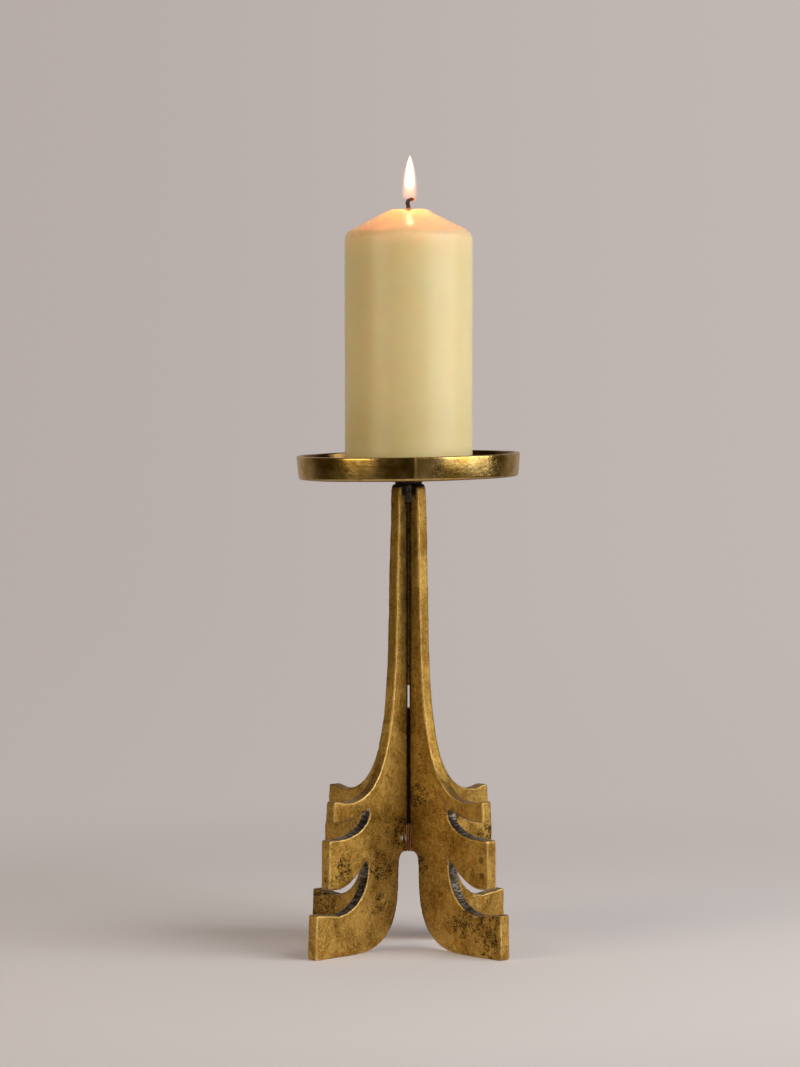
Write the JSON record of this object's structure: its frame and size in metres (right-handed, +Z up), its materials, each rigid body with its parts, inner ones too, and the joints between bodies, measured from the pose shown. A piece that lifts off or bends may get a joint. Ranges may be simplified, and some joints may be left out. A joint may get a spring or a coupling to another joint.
{
  "type": "pillar candlestick",
  "caption": "Candlestick of crossed cast brass blades with stepped, slotted feet, a slim stem and a shallow leaning drip dish that holds a pillar candle on a spike.",
  "frame": {"origin": "on the floor under the middle of the drip dish, which is the bottom centre of the bounding box", "axes": "+Z up along the stem, -Y towards the front, +X to the right as seen from the front"},
  "size_m": [0.1015, 0.1016, 0.3413],
  "materials": {
    "cast_brass": "sand-cast brass with a mottled olive-brown patina, dark pits and worn bright edges",
    "dish_brass": "brushed and waxed brass, browned towards the heel, with small pits",
    "turned_brass": "turned brass, lightly tarnished",
    "dark_brass": "heat-blackened brass",
    "braze": "coppery brazing metal, left as it ran",
    "solder": "dull grey hard solder with a skin of dark oxide",
    "wax": "cream paraffin wax with a soft sheen",
    "wick": "charred cotton braid"
  },
  "bodies": {
    "stand": {"leg_front_left": "cast_brass", "leg_front_right": "cast_brass", "leg_back_left": "cast_brass", "leg_back_right": "cast_brass", "arch_braze": "braze", "head_solder": "solder", "pricket_rod": "turned_brass", "neck_collar": "dark_brass", "neck_washer": "turned_brass", "drip_dish": "dish_brass"},
    "candle": {"candle": "wax", "wick": "wick"}
  },
  "joints": [
    {"name": "candle_lift", "type": "slide", "parent": "stand", "child": "candle", "axis": [0, 0, 1], "range_m": [0, 0.04]}
  ]
}
